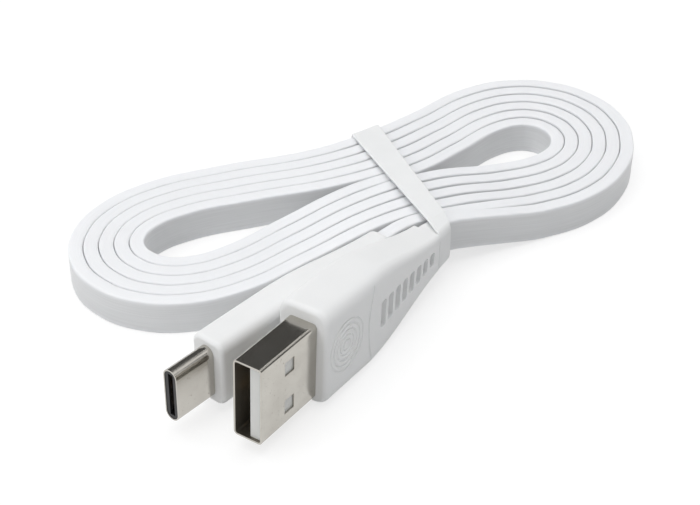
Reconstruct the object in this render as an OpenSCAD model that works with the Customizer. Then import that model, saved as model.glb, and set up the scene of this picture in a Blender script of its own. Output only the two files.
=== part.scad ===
// USB-A to USB-C charging cable: a flat cord on its edge, wound as a hank and tied at the waist.
// Millimetres. X runs along the hank, Z is up, and the origin is under the middle of the whole cable.

/* [Cord] */
// Width of the flat cord
cord_w = 5.4; // [4.8:0.1:6]
// Thickness of the flat cord
cord_t = 1.7; // [1.4:0.1:1.9]
// Chamfer that stands for the cord's round upper edges
cord_edge = 0.5; // [0.2:0.1:0.6]

/* [Hank] */
// U-turns at the end away from the plugs
right_turns = 6; // [4:1:6]
// Length of the open eye of the right lobe
right_eye_l = 27.6; // [22:0.5:34]
// Length of the open eye of the left lobe
left_eye_l = 36.4; // [30:0.5:44]
// Half height that shapes the back of the right eye
right_eye_back = 8.3; // [6:0.1:10]
// Half height that shapes the front of the right eye
right_eye_front = 7.7; // [6:0.1:10]
// Half height that shapes the back of the left eye
left_eye_back = 7.5; // [6:0.1:10]
// Half height that shapes the front of the left eye
left_eye_front = 9.9; // [7:0.1:12]
// Play between two strands in the right lobe
right_play = 0.82; // [0.6:0.02:1]
// Play between two strands in the left lobe
left_play = 0.6; // [0.55:0.01:0.8]
// Length of the tied waist between the two eyes
waist_l = 7.7; // [6:0.1:10]

/* [Tie band] */
// Width of the band over the back of the hank
band_w = 5; // [3.5:0.1:5.5]
// Width of the band where it turns round the cord behind the USB-A neck
band_front_w = 4; // [3:0.1:4.4]
// Thickness of the band
band_t = 0.4; // [0.3:0.05:0.6]
// Slack between the band and what it holds
band_play = 0.15; // [0.1:0.05:0.3]
// Place of the band's middle over the back of the hank, from the middle of the waist
band_x = 2.8; // [2:0.1:4]

/* [USB-A plug] */
// Width of the metal shell
a_shell_w = 12; // [11.8:0.1:12.2]
// Thickness of the metal shell
a_shell_t = 4.5; // [4.3:0.1:4.7]
// Length of shell in front of the moulding
a_shell_out = 12.1; // [11.7:0.1:13]
// Length of shell inside the moulding
a_shell_in = 6.4; // [5:0.1:7]
// Sheet thickness of the shell
a_sheet = 0.3; // [0.25:0.01:0.35]
// Thickness of the white tongue
a_tongue_t = 1.84; // [1.7:0.02:1.95]
// Width of the moulded body
a_body_w = 15; // [14:0.1:16.5]
// Width of the moulded body at the parting groove
a_flank_w = 14.4; // [13.8:0.1:16]
// How far the moulded body's middle lies above the shell's
a_offset = 0.45; // [0:0.05:0.8]
// Thickness of the moulded body
a_body_t = 8.1; // [7:0.1:9]
// Length from the front of the moulding to its cord end
a_body_l = 31.8; // [31:0.2:33]
// Width of the neck where the cord comes out
a_neck_w = 6.4; // [6.3:0.1:8]
// Thickness of the neck
a_neck_t = 3.8; // [3.3:0.1:5]
// Depth of the parting groove and of the grip grooves
groove = 0.18; // [0.1:0.02:0.3]
// Slots in each face of the strain relief
relief_slots = 8; // [5:1:8]
// Width of a slot
slot_w = 1.5; // [0.8:0.1:1.6]
// Distance from slot to slot
slot_pitch = 2.14; // [1.6:0.02:2.2]
// Rings of the grip grooves
grip_rings = 5; // [3:1:6]
// Diameter of the outermost grip groove
grip_d = 7.8; // [6:0.2:9]

/* [USB-C plug] */
// Width of the metal shell
c_shell_w = 8.25; // [8.2:0.01:8.3]
// Thickness of the metal shell
c_shell_t = 2.4; // [2.3:0.02:2.5]
// Length of shell in front of the moulding
c_shell_out = 6.8; // [6.5:0.05:7.2]
// Length of shell inside the moulding
c_shell_in = 2.5; // [2:0.1:3]
// Wall of the drawn shell
c_wall = 0.2; // [0.15:0.01:0.25]
// Width of the slot that takes the socket's tongue
c_slot_w = 6.75; // [6.7:0.01:6.8]
// Height of the slot that takes the socket's tongue
c_slot_t = 0.84; // [0.8:0.01:0.9]
// Width of the moulded body
c_body_w = 10.3; // [9.8:0.1:12]
// Thickness of the moulded body
c_body_t = 5.6; // [5.2:0.1:7]
// Length from the front of the moulding to its cord end
c_body_l = 36.8; // [35:0.2:37.2]
// Width of the neck where the cord comes out
c_neck_w = 6.8; // [6.6:0.1:8]
// Thickness of the neck
c_neck_t = 4; // [3.7:0.1:5]

/* [Where the plugs lie] */
// Place of the USB-A mouth, from the middle of the waist
a_mouth = [-41.7, -43.2]; // [-60:0.1:0]
// Turn of the USB-A plug from the hank's long axis
a_yaw = 30.3; // [28:0.1:33]
// Slope of the USB-A plug down to its cord
a_dip = 3; // [0:0.1:4]
// Place of the USB-C mouth, from the middle of the waist
c_mouth = [-49.3, -35.8]; // [-60:0.1:0]
// Turn of the USB-C plug from the hank's long axis
c_yaw = 24.2; // [23:0.1:26]
// Slope of the USB-C plug down to its cord
c_dip = 1; // [0:0.1:3]
// Height of the USB-C plug's axis at its mouth
c_axis_z = 6.4; // [5.6:0.1:7.5]

/* [Hidden] */
$fn = 48;

// ---- small helpers ----
function unit(v) = v / norm(v);
function flat(lists) = [for (l = lists) each l];
function clamp01(u) = min(1, max(0, u));
function ease(u) = let (c = clamp01(u)) c * c * (3 - 2 * c);

// ---- the hank: each lobe is a teardrop eye with its strands laid round it ----
left_turns = right_turns - 1;
right_pitch = cord_t + right_play;
left_pitch = cord_t + left_play;
tip_y = (right_pitch + left_pitch) * 0.2;
// Tip, way out along X, eye length, half heights and sharpness of back and front, rise, pitch, skew
RIGHT = [
    [waist_l / 2, -tip_y], 1, right_eye_l, right_eye_back, right_eye_front, 3.1, 2.4, 1.8, right_pitch, 0.1
];
LEFT = [
    [-waist_l / 2, tip_y], -1, left_eye_l, left_eye_back, left_eye_front, 2.2, 2.6, -1.8, left_pitch, 0.02
];

// Edge of a lobe's eye: t is 0 and 360 at the tip, 180 at the far end, and the back is below 180.
function eye(lobe, t) =
    let (
        half = t < 180 ? lobe[3] : lobe[4],
        sharp = t < 180 ? lobe[5] : lobe[6],
        out = (1 - cos(t)) / 2)
    lobe[0] + [lobe[1] * lobe[2] * out, lobe[7] * out + half * sin(t) * pow(abs(sin(t / 2)), sharp)];
function eye_normal(lobe, t) =
    let (d = unit(eye(lobe, t + 1) - eye(lobe, t - 1)))
    lobe[1] * [-d[1], d[0]];
// A point on the strand whose middle lies "turn" pitches outside the eye
function strand(lobe, t, turn) =
    let (n = eye_normal(lobe, t))
    eye(lobe, t) + n * turn * lobe[8] * (1 + lobe[9] * 2 * n[0] * n[1]);

// Rings for one trip round a lobe: closer together where the strand turns than where it runs on
half_rings = 6;
first_t = 38;
last_t = 322;
step_t = 4;
ring_run = 12;
ring_turn = 28;
function running(v) = [for (i = 0, a = 0; i < len(v); a = a + v[i], i = i + 1) a];
function pass(lobe, turn, from_back) =
    let (
        ts = [first_t : step_t : last_t],
        pts = [for (t = ts) strand(lobe, t, turn)],
        n = len(pts),
        work = [for (i = [0 : n - 1])
            let (
                a = pts[max(i - 1, 0)],
                b = pts[i],
                c = pts[min(i + 1, n - 1)],
                bent = a == b || b == c ? 0 : acos(min(1, unit(b - a) * unit(c - b))))
            norm(c - b) / ring_run + bent / ring_turn],
        reached = running(work),
        whole = reached[n - 1],
        places = [for (i = [0 : n - 1]) [reached[i], first_t + i * step_t]])
    [for (i = [0 : 2 * half_rings - 1])
        let (u = (from_back ? i : 2 * half_rings - 1 - i) / (2 * half_rings - 1))
        strand(lobe, lookup(u * whole, places), turn)];

// One unbroken path: in from the USB-A end, over in the middle, and out to the USB-C end
LOOPS = flat(concat(
    [for (k = [1 : 2 : right_turns - 1]) each [
        pass(RIGHT, right_turns - k + 0.5, false),
        pass(LEFT, left_turns - k + 0.5, true)]],
    [for (k = [right_turns : -2 : 2]) each [
        pass(RIGHT, right_turns - k + 0.5, true),
        if (k > 2) pass(LEFT, left_turns - k + 2.5, false)]]));
last = len(LOOPS) - 1;

// ---- where the plugs lie ----
a_flank_l = 11;
a_rest_l = a_shell_out + a_flank_l;
a_total = a_shell_out + a_body_l;
c_total = c_shell_out + c_body_l;
function axis_dir(yaw, dip) = [cos(dip) * cos(yaw), cos(dip) * sin(yaw), -sin(dip)];
A_DIR = axis_dir(a_yaw, a_dip);
C_DIR = axis_dir(c_yaw, c_dip);
A_UP = [sin(a_dip) * cos(a_yaw), sin(a_dip) * sin(a_yaw), cos(a_dip)];
function a_relief(l) = clamp01((l - a_rest_l) / (a_total - a_rest_l));
// The taper in width starts a little late and is not quite level yet at the neck
late = 0.03;
taper = 0.95;
function a_wide(l) = a_flank_w + (a_neck_w - a_flank_w) * ease(a_relief(l) * taper - late);
function a_thick(l) = a_body_t + (a_neck_t - a_body_t) * a_relief(l);
// Places of the relief's sections, and the height at which the lowest of them just touches the ground
relief_sections = 10;
RELIEF_L = [for (i = [0 : relief_sections]) a_rest_l + i * (a_total - a_rest_l) / relief_sections];
a_axis_z = max([for (l = RELIEF_L) (a_wide(l) / 2 - a_offset) * cos(a_dip) + l * sin(a_dip)]);
A_POS = [a_mouth[0], a_mouth[1], a_axis_z];
C_POS = [c_mouth[0], c_mouth[1], c_axis_z];
function on_a(l) = A_POS + A_DIR * l + A_UP * a_offset;
function on_c(l) = C_POS + C_DIR * l;

// ---- height of the cord: on its edge, over the band at the waist, and down from the two necks ----
seat_z = cord_w / 2;
band_gap = 0.05;
waist_lift = band_t + band_gap;
lift_from = waist_l / 2 + 4.5;
lift_run = 9;
fall_run = 18;
function lie_z(x) = seat_z + waist_lift * (1 - ease((abs(x) - lift_from) / lift_run));
function fall(x, drop) = drop * (1 - ease((x - waist_l / 2) / fall_run));
a_skip = 1;
c_skip = 1;
a_hang = 1.2;
c_hang = 1.0;
neck_a = on_a(a_total);
neck_c = on_c(c_total);
// Each end of the cord runs straight on from its neck for a stretch, then swings in to the hank.
a_straight = 5;
c_straight = 1.8;
straight_a = on_a(a_total + a_straight);
straight_c = on_c(c_total + c_straight);
BED = [for (i = [a_skip : last - c_skip])
    let (p = LOOPS[i], x = p[0], first = i < half_rings, final = i > last - half_rings)
    [x, p[1], lie_z(x) + (first ? fall(x, a_hang) : final ? fall(x, c_hang) : 0)]];
bed_last = len(BED) - 1;

function bend(p0, d0, p1, d1, pull, u) =
    let (v = 1 - u, reach = pull * norm(p1 - p0))
    v * v * (1 + 2 * u) * p0 + u * v * v * reach * d0 + u * u * (3 - 2 * u) * p1 - u * u * v * reach * d1;
bend_rings = 6;
a_pull = 0.35;
c_pull = 0.7;
c_high = 0.5;
START_WAY = unit(BED[1] - BED[0]);
END_WAY = unit(BED[bed_last - 1] - BED[bed_last]);
ROUTE = concat(
    [neck_a],
    [for (i = [0 : bend_rings - 1]) bend(straight_a, A_DIR, BED[0], START_WAY, a_pull, i / bend_rings)],
    BED,
    [for (i = [bend_rings - 1 : -1 : 0])
        let (u = i / bend_rings)
        bend(straight_c, C_DIR, BED[bed_last], END_WAY, c_pull, u) + [0, 0, 4 * c_high * u * (1 - u)]],
    [neck_c]);
route_last = len(ROUTE) - 1;

function plan(p) = [p[0], p[1]];
function to_segment(p, a, b) =
    let (ab = b - a, u = clamp01(((p - a) * ab) / (ab * ab)))
    norm(p - a - ab * u);
// The least distance in plan from one stretch of cord to any other, less the cord's own thickness
least_gap = min([for (i = [0 : route_last], j = [0 : route_last - 1])
    if (abs(i - j - 0.5) > 4) to_segment(plan(ROUTE[i]), plan(ROUTE[j]), plan(ROUTE[j + 1]))]) - cord_t;
function run_length(i) = i == 0 ? 0 : norm(ROUTE[i] - ROUTE[i - 1]) + run_length(i - 1);
echo(least_gap_of_hank = least_gap);
echo(cord_length = run_length(route_last));

// ---- the model's own frame: the origin lies under the middle of the box round everything ----
a_low_y = A_POS[1] - a_shell_t / 2 * cos(a_yaw) - a_shell_w / 2 * sin(a_dip) * sin(a_yaw);
low_x = min(min([for (p = BED) p[0]]) - cord_t / 2, c_mouth[0] - c_shell_t / 2 * sin(c_yaw));
high_x = max([for (p = BED) p[0]]) + cord_t / 2;
high_y = max([for (p = BED) p[1]]) + cord_t / 2;
SHIFT = [-(low_x + high_x) / 2, -(a_low_y + high_y) / 2, 0];

// ---- skin through rings of points, each ring anticlockwise when seen from the path's far end ----
module skin(rings) {
    n = len(rings);
    sides = len(rings[0]);
    walls = [for (i = [0 : n - 2], j = [0 : sides - 1])
        let (a = i * sides + j, b = i * sides + (j + 1) % sides)
        each [[a, b + sides, b], [a, a + sides, b + sides]]];
    caps = [for (j = [1 : sides - 2], e = [0, 1])
        let (o = e * (n - 1) * sides)
        e == 0 ? [o, o + j, o + j + 1] : [o, o + j + 1, o + j]];
    polyhedron(flat(rings), concat(walls, caps), convexity = 20);
}

// The same for a path that closes on itself
module ring_skin(rings) {
    n = len(rings);
    sides = len(rings[0]);
    walls = [for (i = [0 : n - 1], j = [0 : sides - 1])
        let (a = i * sides + j, b = i * sides + (j + 1) % sides, c = (i + 1) % n * sides)
        each [[a, b, c + j], [b, c + (j + 1) % sides, c + j]]];
    polyhedron(flat(rings), walls, convexity = 10);
}

// ---- the flat cord ----
SECTION = [
    [-cord_t / 2, -cord_w / 2], [cord_t / 2, -cord_w / 2],
    [cord_t / 2, cord_w / 2 - cord_edge], [cord_t / 2 - cord_edge, cord_w / 2],
    [cord_edge - cord_t / 2, cord_w / 2], [-cord_t / 2, cord_w / 2 - cord_edge]
];
function heading(path, i) =
    let (a = path[max(i - 1, 0)], b = path[min(i + 1, len(path) - 1)])
    unit(plan(b - a));
function cord_ring(p, d, dip) =
    let (across = [-d[1], d[0], 0], up = [d[0] * sin(dip), d[1] * sin(dip), cos(dip)])
    [for (s = SECTION) p + s[0] * across + s[1] * up];
module cord_hank() {
    rings = [for (i = [0 : route_last])
        cord_ring(ROUTE[i], heading(ROUTE, i), i < 2 ? a_dip : i > route_last - 2 ? c_dip : 0)];
    color("whitesmoke")
        translate(SHIFT)
        skin(rings);
}

// The hank's ends meet the jacket's ends inside the two strain reliefs, face to face.
module jacket_end(p, q, dir, dip) {
    translate(SHIFT)
        skin([for (c = [p, q]) cord_ring(c, unit(plan(dir)), dip)]);
}
module cord_end_a() {
    color("whitesmoke")
        jacket_end(on_a(a_jacket_l), on_a(a_total), A_DIR, a_dip);
}
module cord_end_c() {
    color("whitesmoke")
        jacket_end(on_c(c_jacket_l), on_c(c_total), C_DIR, c_dip);
}

// ---- tie band: stretched round the waist and the USB-A neck, so it touches only what stands out ----
// How far back the cord's middle lies at a place along X
function rear_y(x) =
    max([for (i = [1 : route_last])
        let (a = ROUTE[i - 1], b = ROUTE[i], u = (x - a[0]) / (b[0] - a[0]))
        if (a[0] != b[0] && u >= 0 && u <= 1) a[1] + (b[1] - a[1]) * u]);
back_y = max(rear_y(band_x - band_w / 2), rear_y(band_x + band_w / 2)) + cord_t / 2 + band_play;
back_z = seat_z + waist_lift + cord_w / 2 + band_play;
under_z = seat_z + waist_lift + 0.1;
under_y = min([for (p = BED) if (abs(p[0]) < lift_from && p[2] < under_z) p[1]]) - cord_t / 2;
foot_turn = 0.2;
back_turn = 0.9;
neck_turn = 0.8;
// Places on the USB-A plug's axis of the band's left and right edges
from_neck = 0.6;
NECK_L = a_total + from_neck;
NECK_R = NECK_L + band_front_w;
// What the band is drawn round at one of them: [near side, far side, bottom, top, place along X]
function neck_box(l) =
    let (
        c = on_a(l),
        side = cord_t / 2 * cos(a_yaw) + band_play,
        rise = cord_w / 2 + band_play)
    [c[1] - side, c[1] + side, c[2] - rise, c[2] + rise, c[0] + cord_t / 2 * sin(a_yaw)];
// Inner outline of one edge of the band, anticlockwise from the back's foot: [across, up, radius]
function band_corners(l) =
    let (n = neck_box(l))
    [[back_y, band_t, foot_turn], [back_y, back_z, back_turn], [n[1], n[3], neck_turn],
        [n[0], n[3], neck_turn], [n[0], n[2], neck_turn], [under_y, band_t, foot_turn]];
turn_steps = 3;
function rounded(corners, out) =
    let (n = len(corners))
    flat([for (i = [0 : n - 1])
        let (
            c = plan(corners[i]),
            r = corners[i][2],
            u = unit(c - plan(corners[(i + n - 1) % n])),
            v = unit(plan(corners[(i + 1) % n]) - c),
            turn = acos(u * v),
            m = c - u * r * tan(turn / 2) + [-u[1], u[0]] * r)
        [for (k = [0 : turn_steps])
            let (w = turn * k / turn_steps)
            m + (r + out) * [u[1] * cos(w) + u[0] * sin(w), u[1] * sin(w) - u[0] * cos(w)]]]);
// Where an edge of the band lies along X, at each place across the hank: it slants to the neck and narrows.
slant = 1;
under_shift = 1.4;
under_part = 0.86;
mid_shift = 0.6;
mid_part = 0.95;
function edge_x(y, l, side) =
    let (n = neck_box(l), half = side * band_w / 2)
    lookup(y, [
        [n[0], n[4]], [n[1], n[4] + (side < 0 ? slant : slant / 5)],
        [under_y, band_x - under_shift + half * under_part],
        [0, band_x - mid_shift + half * mid_part], [back_y, band_x + half]]);
module tie_band() {
    loops = [for (side = [-1, 1], out = side < 0 ? [0, band_t] : [band_t, 0])
        let (l = side < 0 ? NECK_L : NECK_R)
        [for (q = rounded(band_corners(l), out)) [edge_x(q[0], l, side), q[0], q[1]]]];
    color("white")
        translate(SHIFT)
        ring_skin([for (i = [0 : len(loops[0]) - 1]) [for (k = loops) k[i]]]);
}

// ---- plug frames: X runs from the mouth towards the cord, Z is up the shell's broad faces ----
module in_a() {
    translate(A_POS + SHIFT)
        rotate([0, a_dip, a_yaw])
        children();
}
module in_c() {
    translate(C_POS + SHIFT)
        rotate([0, c_dip, c_yaw])
        children();
}
module along(l0, l1) {
    translate([l0, 0, 0])
        rotate([90, 0, 90])
        linear_extrude(l1 - l0)
        children();
}
module round_rect(t, w, r) {
    square([t - 2 * r, w], center = true);
    square([t, w - 2 * r], center = true);
    for (i = [-1, 1], j = [-1, 1])
        translate([i * (t / 2 - r), j * (w / 2 - r)])
        circle(r);
}
module stadium(t, w) {
    square([t, w - t], center = true);
    for (j = [-1, 1])
        translate([0, j * (w - t) / 2])
        circle(t / 2);
}
module slab(l0, l1, t0, t1, h0, h1) {
    translate([l0, t0, h0])
        cube([l1 - l0, t1 - t0, h1 - h0]);
}
// An insulated wire: it leaves p level, slants over and reaches q level.
module wire(p, q, level, d) {
    skin([for (c = [p, p + [level, 0, 0], q - [level, 0, 0], q])
        [for (a = [0 : 36 : 324]) c + [0, cos(a), sin(a)] * d / 2]]);
}
// A moulding's rounded section at one place: [place, width, thickness, corner radius]
corner_steps = 4;
function section_ring(s) =
    [for (q = [0 : 3], i = [0 : corner_steps])
        let (a = q * 90 + i * 90 / corner_steps, r = s[3], dy = s[2] / 2 - r, dz = s[1] / 2 - r)
        [s[0], (q == 0 || q == 3 ? dy : -dy) + r * cos(a), (q < 2 ? dz : -dz) + r * sin(a)]];
module moulding(sections) {
    skin([for (s = sections) section_ring(s)]);
}
// Slots that shorten, climb and lean more towards the cord, cut a little way into both broad faces
slot_corner = 0.4;
slot_taper = 0.6;
slot_bow = 1.3;
slot_climb = 0.06;
module relief_cuts(first, count, long, lean, depth, half_t) {
    for (i = [0 : count - 1], side = [-1, 1]) {
        l = first + i * slot_pitch;
        tall = max(slot_w * 1.4, long * (1 - slot_taper * pow(i / count, slot_bow)));
        translate([l, side * (half_t(l) - depth), slot_climb * i])
            rotate([-90 * side, 0, 0])
            rotate([0, 0, side * lean * i / count])
            linear_extrude(depth + 2)
            polygon([for (p = section_ring([0, tall, slot_w, slot_corner])) [p[1], p[2]]]);
    }
}

// ---- USB-A plug ----
a_shell_l = a_shell_out + a_shell_in;
a_corner = 0.6;
a_in_t = a_shell_t - 2 * a_sheet;
a_in_w = a_shell_w - 2 * a_sheet;
window_l = 2.1;
window_h = 2.2;
window_at = 6.1;
window_off = 3.05;
tongue_back = 8.65;
tongue_front = 0.5;
tongue_top = a_tongue_t - a_in_t / 2;
pin_w = 1;
pin_t = 0.25;
pin_inner = 1;
pin_outer = 3.5;
tail_l = 1.9;
wire_d = 0.9;
wire_gap = 0.12;
a_wire_level = 0.8;
core_pitch = 1.15;
a_wire_run = 5.2;
a_jacket_l = a_shell_l + tail_l + a_wire_run;

module usb_a_shell() {
    color("silver")
        in_a()
        difference() {
            along(0, a_shell_l)
                round_rect(a_shell_t, a_shell_w, a_corner);
            along(-1, a_shell_l + 1)
                round_rect(a_in_t, a_in_w, a_corner - a_sheet);
            for (s = [-1, 1])
                translate([window_at, 0, s * window_off])
                cube([window_l, a_shell_t + 1, window_h], center = true);
        }
}
module a_pin_solid(h, start) {
    slab(start, a_shell_l + tail_l, tongue_top - pin_t, tongue_top, h - pin_w / 2, h + pin_w / 2);
}
module a_pins() {
    for (s = [-1, 1]) {
        a_pin_solid(s * pin_outer, tongue_front + 0.7);
        a_pin_solid(s * pin_inner, tongue_front + 1.7);
    }
}
module usb_a_insulator() {
    color("white")
        in_a()
        difference() {
            union() {
                along(tongue_front, a_shell_l)
                    intersection() {
                        round_rect(a_in_t, a_in_w, a_corner - a_sheet);
                        translate([-a_in_t, -a_in_w])
                            square([a_in_t + tongue_top, 2 * a_in_w]);
                    }
                along(tongue_back, a_shell_l)
                    round_rect(a_in_t, a_in_w, a_corner - a_sheet);
            }
            a_pins();
        }
}
module usb_a_pin_vbus() {
    color("gold")
        in_a()
        a_pin_solid(pin_outer, tongue_front + 0.7);
}
module usb_a_pin_dminus() {
    color("gold")
        in_a()
        a_pin_solid(pin_inner, tongue_front + 1.7);
}
module usb_a_pin_dplus() {
    color("gold")
        in_a()
        a_pin_solid(-pin_inner, tongue_front + 1.7);
}
module usb_a_pin_ground() {
    color("gold")
        in_a()
        a_pin_solid(-pin_outer, tongue_front + 0.7);
}
// Wire number 0 is the highest; each runs from its contact's tail to its core in the flat cord.
function a_tail_h(i) = [pin_outer, pin_inner, -pin_inner, -pin_outer][i];
function core_h(i) = (1.5 - i) * core_pitch;
module a_wire(i) {
    tail = [a_shell_l + tail_l + wire_gap, tongue_top, a_tail_h(i)];
    wire(tail, [a_jacket_l - wire_gap, 0, core_h(i) + a_offset], a_wire_level, wire_d);
}
module usb_a_wire_red() {
    color("red")
        in_a()
        a_wire(0);
}
module usb_a_wire_white() {
    color("white")
        in_a()
        a_wire(1);
}
module usb_a_wire_green() {
    color("green")
        in_a()
        a_wire(2);
}
module usb_a_wire_black() {
    color("black")
        in_a()
        a_wire(3);
}
a_mould_from = a_shell_out + 2;
a_mould_to = a_jacket_l + 1.2;
a_mould_wall = 0.7;
a_mould_t = a_shell_t + 2 * a_mould_wall;
a_mould_w = a_shell_w + 0.8;
a_wires_wall = 0.25;
a_wires_w = 2 * (pin_outer + wire_d / 2 + a_wires_wall);
module flat_section() {
    polygon([for (s = SECTION) s]);
}
module a_mould_block() {
    along(a_mould_from, a_shell_l + tail_l + 0.6)
        round_rect(a_mould_t, a_mould_w, 1);
    along(a_shell_l + tail_l, a_mould_to)
        round_rect(a_shell_t, a_wires_w, 1);
}
module usb_a_inner_mould() {
    color("gainsboro")
        in_a()
        difference() {
            a_mould_block();
            along(0, a_shell_l)
                round_rect(a_shell_t, a_shell_w, a_corner);
            a_pins();
            for (i = [0 : 3])
                a_wire(i);
            translate([0, 0, a_offset])
                along(a_jacket_l, a_total)
                flat_section();
        }
}
a_round = 1.4;
a_neck_round = 0.8;
A_SECTIONS = concat(
    [[a_shell_out, a_body_w - 1.6, a_body_t - 1.6, 0.9],
        [a_shell_out + 0.25, a_body_w - 0.6, a_body_t - 0.6, 1.1],
        [a_shell_out + 0.9, a_body_w, a_body_t, a_round]],
    [for (l = RELIEF_L) [l, a_wide(l), a_thick(l), a_round + (a_neck_round - a_round) * a_relief(l)]]);
grip_up = 0.5;
grip_along = 0.42;
parting_r = 18;
parting_back = 0.9;
a_first_slot = a_rest_l + 3.2;
a_slot_l = 4.5;
a_slot_lean = 5;
a_slot_depth = 0.7;
module grip_grooves() {
    for (side = [-1, 1], i = [1 : grip_rings])
        translate([a_shell_out + a_flank_l * grip_along, side * a_body_t / 2, grip_up])
        rotate([90, 0, 0])
        rotate_extrude()
        translate([i * grip_d / 2 / grip_rings, 0])
        circle(groove, $fn = 16);
}
// A shallow curved groove across each broad face parts the thumb rest from the strain relief.
module parting_grooves() {
    for (side = [-1, 1])
        translate([a_rest_l - parting_back + parting_r, side * a_body_t / 2, 0])
        rotate([90, 0, 0])
        rotate_extrude($fn = 96)
        translate([parting_r, 0])
        circle(groove, $fn = 16);
}
module usb_a_overmould() {
    color("whitesmoke")
        in_a()
        difference() {
            translate([0, 0, a_offset])
                difference() {
                    moulding(A_SECTIONS);
                    along(a_mould_to - 1, a_total + 1)
                        flat_section();
                    relief_cuts(a_first_slot, relief_slots, a_slot_l, a_slot_lean, a_slot_depth,
                        function (l) a_thick(l) / 2);
                    grip_grooves();
                    parting_grooves();
                }
            along(0, a_mould_from + 1)
                round_rect(a_shell_t, a_shell_w, a_corner);
            a_mould_block();
        }
}

// ---- USB-C plug ----
c_shell_l = c_shell_out + c_shell_in;
c_in_w = c_shell_w - 2 * c_wall;
c_in_t = c_shell_t - 2 * c_wall;
slot_end = 6.2;
c_pins = 12;
c_pin_pitch = 0.5;
c_pin_w = 0.24;
c_pin_t = 0.14;
c_pin_from = 1.1;
c_tail = 1.2;
c_front = 0.1;
plate_t = 0.16;
arm_from = 1.2;
arm_t = 0.2;
arm_h = 0.6;
arm_at = c_slot_w / 2 + 0.03;
hook_l = 2.3;
spring_l = 0.5;
spring_t = 0.12;

module usb_c_shell() {
    color("silver")
        in_c()
        difference() {
            along(0, c_shell_l)
                stadium(c_shell_t, c_shell_w);
            along(-1, c_shell_l + 1)
                stadium(c_in_t, c_in_w);
        }
}
module c_pin_row(side) {
    for (i = [0 : c_pins - 1]) {
        h = (i - (c_pins - 1) / 2) * c_pin_pitch;
        t0 = side > 0 ? c_slot_t / 2 : -c_slot_t / 2 - c_pin_t;
        slab(c_pin_from, c_shell_l + c_tail, t0, t0 + c_pin_t, h - c_pin_w / 2, h + c_pin_w / 2);
    }
}
module c_mid() {
    slab(slot_end + 0.3, c_shell_l, -plate_t / 2, plate_t / 2, -arm_at, arm_at);
}
module c_latch_solid(side) {
    h0 = side > 0 ? arm_at : -arm_at - arm_t;
    slab(arm_from, c_shell_l, -arm_h / 2, arm_h / 2, h0, h0 + arm_t);
    intersection() {
        translate([hook_l, -arm_h / 2, side * (arm_at + 0.35)])
            rotate([-90, 0, 0])
            cylinder(h = arm_h, r = 0.6);
        slab(arm_from, hook_l + 1, -arm_h / 2, arm_h / 2,
            side > 0 ? arm_at - 1 : -arm_at, side > 0 ? arm_at : 1 - arm_at);
    }
}
module c_spring_solid(side) {
    t0 = side > 0 ? c_slot_t / 2 : -c_slot_t / 2 - spring_t;
    slab(0.4, 0.4 + spring_l, t0, t0 + spring_t, -c_slot_w / 2 + 0.5, c_slot_w / 2 - 0.5);
}
module usb_c_insulator() {
    color("dimgray")
        in_c()
        difference() {
            along(c_front, c_shell_l)
                stadium(c_in_t, c_in_w);
            slab(-1, slot_end, -c_slot_t / 2, c_slot_t / 2, -c_slot_w / 2, c_slot_w / 2);
            for (s = [-1, 1]) {
                c_pin_row(s);
                c_spring_solid(s);
                c_latch_solid(s);
            }
            c_mid();
        }
}
module usb_c_pins_upper() {
    color("gold")
        in_c()
        c_pin_row(1);
}
module usb_c_pins_lower() {
    color("gold")
        in_c()
        c_pin_row(-1);
}
module usb_c_mid_plate() {
    color("silver")
        in_c()
        c_mid();
}
module usb_c_latch_left() {
    color("silver")
        in_c()
        c_latch_solid(1);
}
module usb_c_latch_right() {
    color("silver")
        in_c()
        c_latch_solid(-1);
}
module usb_c_spring_upper() {
    color("silver")
        in_c()
        c_spring_solid(1);
}
module usb_c_spring_lower() {
    color("silver")
        in_c()
        c_spring_solid(-1);
}
board_l = 6;
board_w = 7.2;
board_end = c_shell_l + board_l;
c_wire_run = 4.1;
c_jacket_l = board_end + c_wire_run;
c_wire_d = 0.8;
c_solder_l = 1.8;
c_wire_t = c_slot_t / 2 + c_wire_d / 2;
module usb_c_board() {
    color("seagreen")
        in_c()
        slab(c_shell_l, board_end, -c_slot_t / 2, c_slot_t / 2, -board_w / 2, board_w / 2);
}
module c_resistor() {
    slab(c_shell_l + 1.8, c_shell_l + 2.8, c_slot_t / 2, c_slot_t / 2 + 0.35, -0.25, 0.25);
}
module usb_c_resistor() {
    color("black")
        in_c()
        c_resistor();
}
module c_wire(i) {
    start = [board_end - c_solder_l, c_wire_t, (1.5 - i) * 1.5];
    wire(start, [c_jacket_l - wire_gap, 0, core_h(i)], c_solder_l + 0.1, c_wire_d);
}
module usb_c_wire_red() {
    color("red")
        in_c()
        c_wire(0);
}
module usb_c_wire_white() {
    color("white")
        in_c()
        c_wire(1);
}
module usb_c_wire_green() {
    color("green")
        in_c()
        c_wire(2);
}
module usb_c_wire_black() {
    color("black")
        in_c()
        c_wire(3);
}
can_from = c_shell_out + 0.7;
can_to = board_end + 0.8;
can_t = c_shell_t + 1.8;
can_w = c_shell_w + 0.7;
can_sheet = 0.2;
can_r = 1.2;
c_mould_to = c_jacket_l + 0.8;
module c_mould_block() {
    along(can_from + can_sheet, can_to)
        round_rect(can_t - 2 * can_sheet, can_w - 2 * can_sheet, can_r - can_sheet);
    along(can_to - 0.5, c_mould_to)
        round_rect(can_t - 0.6, can_w - 1.6, can_r - can_sheet);
}
module usb_c_can() {
    color("silver")
        in_c()
        difference() {
            along(can_from, can_to)
                round_rect(can_t, can_w, can_r);
            along(can_from + can_sheet, can_to + 1)
                round_rect(can_t - 2 * can_sheet, can_w - 2 * can_sheet, can_r - can_sheet);
            along(0, can_to)
                stadium(c_shell_t, c_shell_w);
        }
}
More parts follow.
